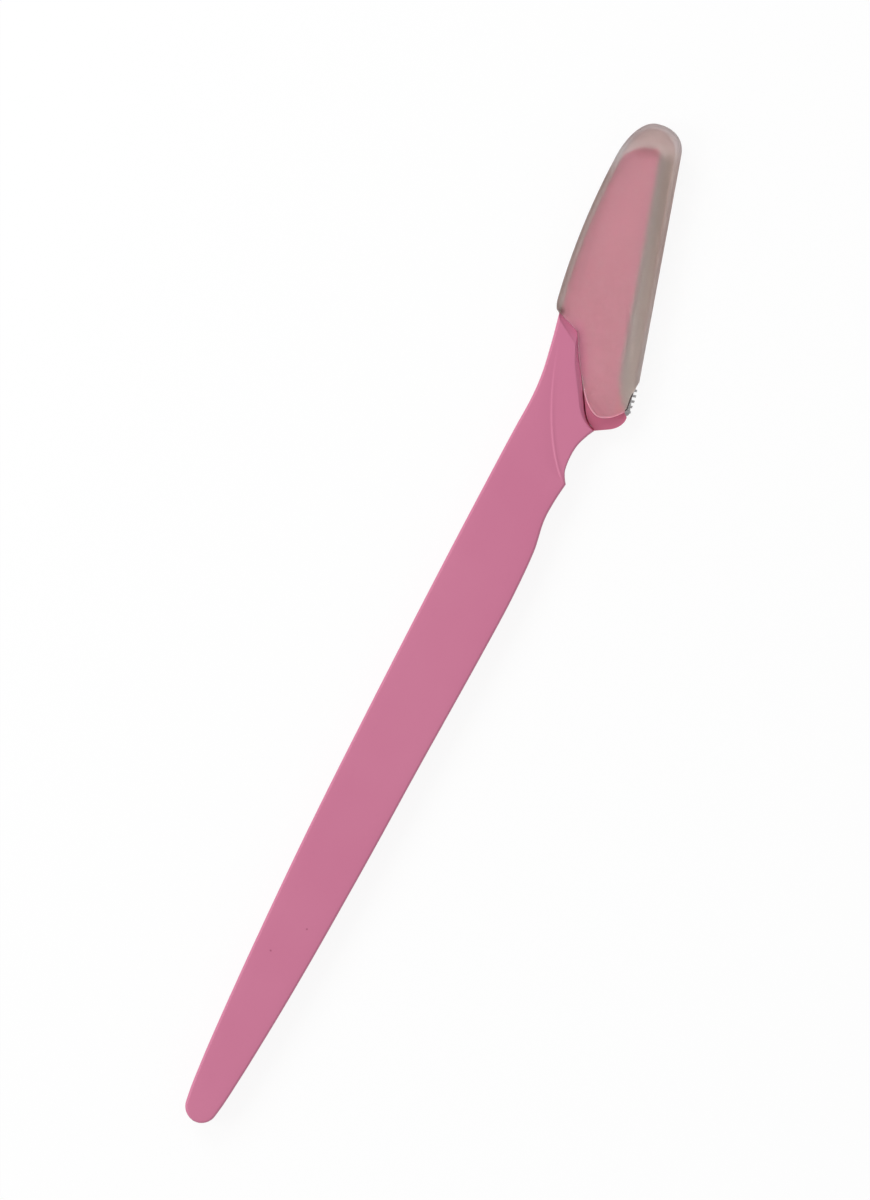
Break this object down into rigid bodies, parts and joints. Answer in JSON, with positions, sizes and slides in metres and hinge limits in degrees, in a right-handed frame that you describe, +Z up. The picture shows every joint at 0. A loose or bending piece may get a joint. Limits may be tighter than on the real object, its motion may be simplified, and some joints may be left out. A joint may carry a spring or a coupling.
{
  "type": "eyebrow razor",
  "caption": "Slim eyebrow razor with a flat moulded handle, a finger scallop, a tilted head holding a guarded steel blade and a frosted pull-off cap.",
  "frame": {"origin": "centre of the bounding box's underside, where the razor lies flat", "axes": "+X from the tail of the handle to the tip of the cap, +Y from the cutting edge to the spine, +Z up from the flat side it lies on"},
  "size_m": [0.1572, 0.019, 0.0042],
  "materials": {
    "handle_plastic": "satin pink polypropylene",
    "head_plastic": "satin pink polypropylene",
    "clamp_plastic": "satin pink polypropylene",
    "blade_steel": "ground stainless steel",
    "guard_steel": "bright etched foil",
    "cap_plastic": "frosted clear polypropylene"
  },
  "bodies": {
    "razor": {"handle": "handle_plastic", "blade_carrier": "head_plastic", "blade_clamp": "clamp_plastic", "blade": "blade_steel", "edge_guard": "guard_steel"},
    "cap": {"cap": "cap_plastic"}
  },
  "joints": [
    {"name": "cap_pull", "type": "slide", "parent": "razor", "child": "cap", "axis": [0.9558, 0.294, 0], "range_m": [0, 0.045]}
  ]
}
